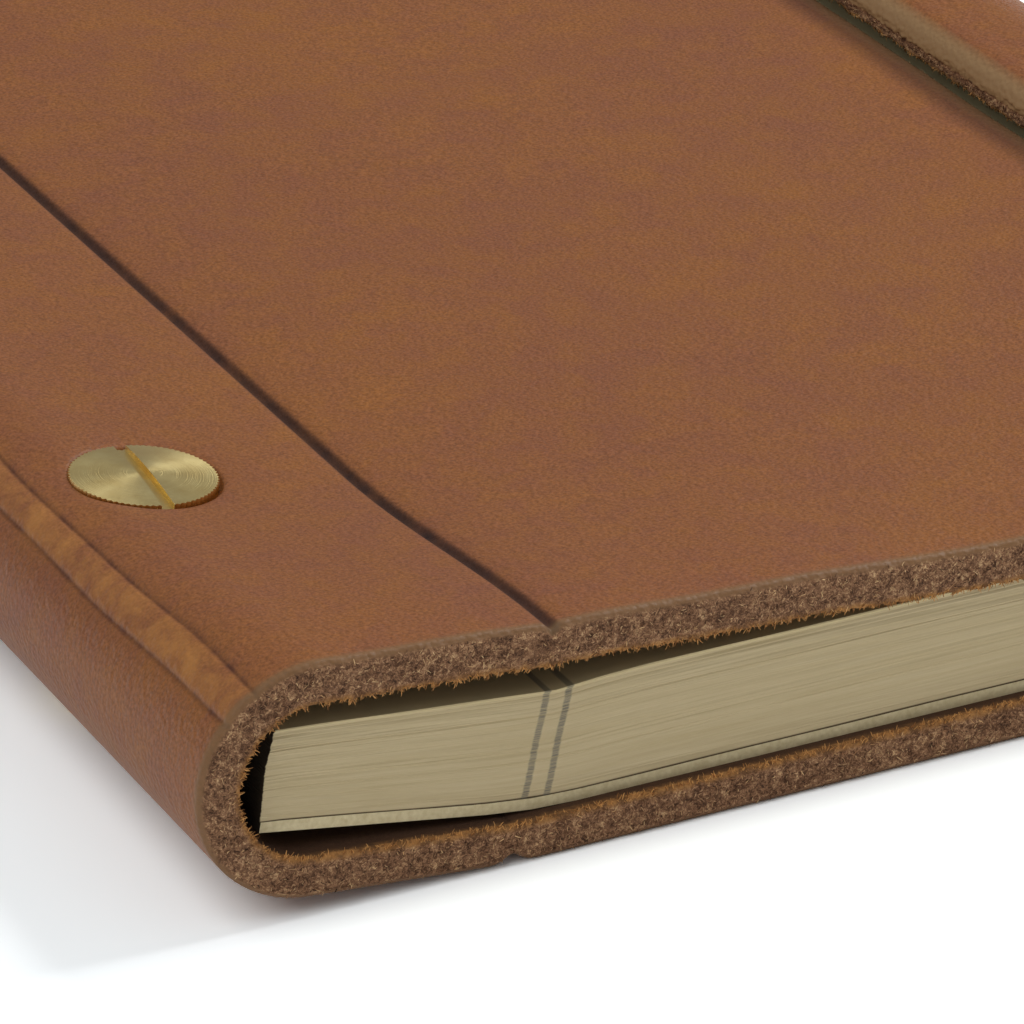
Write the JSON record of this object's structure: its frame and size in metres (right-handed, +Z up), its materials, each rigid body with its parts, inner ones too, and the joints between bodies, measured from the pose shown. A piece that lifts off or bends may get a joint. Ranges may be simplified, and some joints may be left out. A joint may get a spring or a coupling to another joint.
{
  "type": "refillable leather journal",
  "caption": "Thick one-piece leather cover wrapped round a stack of pages, bound by slotted screw posts, with a fore-edge flap.",
  "frame": {"origin": "centre of the journal's box at the table, under the back cover it lies on", "axes": "+X from the rounded spine to the fore-edge, +Y from tail to head, +Z up through the front cover"},
  "size_m": [0.1386, 0.1818, 0.0227],
  "materials": {
    "leather": "waxed brown harness leather, smooth grain side, raw fibrous edges",
    "paper": "cream uncoated writing paper, cut edges",
    "card": "cream backing card",
    "brass": "turned solid brass, lightly aged, knurled rim"
  },
  "bodies": {
    "back": {"spine_and_back_cover": "leather", "page_block": "paper", "backing_board": "card", "tail_post": "brass", "head_post": "brass"},
    "front": {"front_cover": "leather"},
    "flap": {"fore_edge_flap": "leather"},
    "tail_screw": {"tail_screw": "brass"},
    "head_screw": {"head_screw": "brass"}
  },
  "joints": [
    {"name": "front_cover_hinge", "type": "hinge", "parent": "back", "child": "front", "pos_m": [-0.03811, 0, 0.02039], "axis": [0, -1, 0], "range_deg": [0, 165]},
    {"name": "flap_hinge", "type": "hinge", "parent": "back", "child": "flap", "pos_m": [0.06932, 0, 0.01135], "axis": [0, 1, 0], "range_deg": [0, 150]},
    {"name": "tail_screw_turn", "type": "hinge", "parent": "back", "child": "tail_screw", "pos_m": [-0.05483, -0.0485, 0.022], "axis": [0.0915, 0, 0.9958], "continuous": true},
    {"name": "head_screw_turn", "type": "hinge", "parent": "back", "child": "head_screw", "pos_m": [-0.05483, 0.0485, 0.022], "axis": [0.0915, 0, 0.9958], "continuous": true}
  ]
}
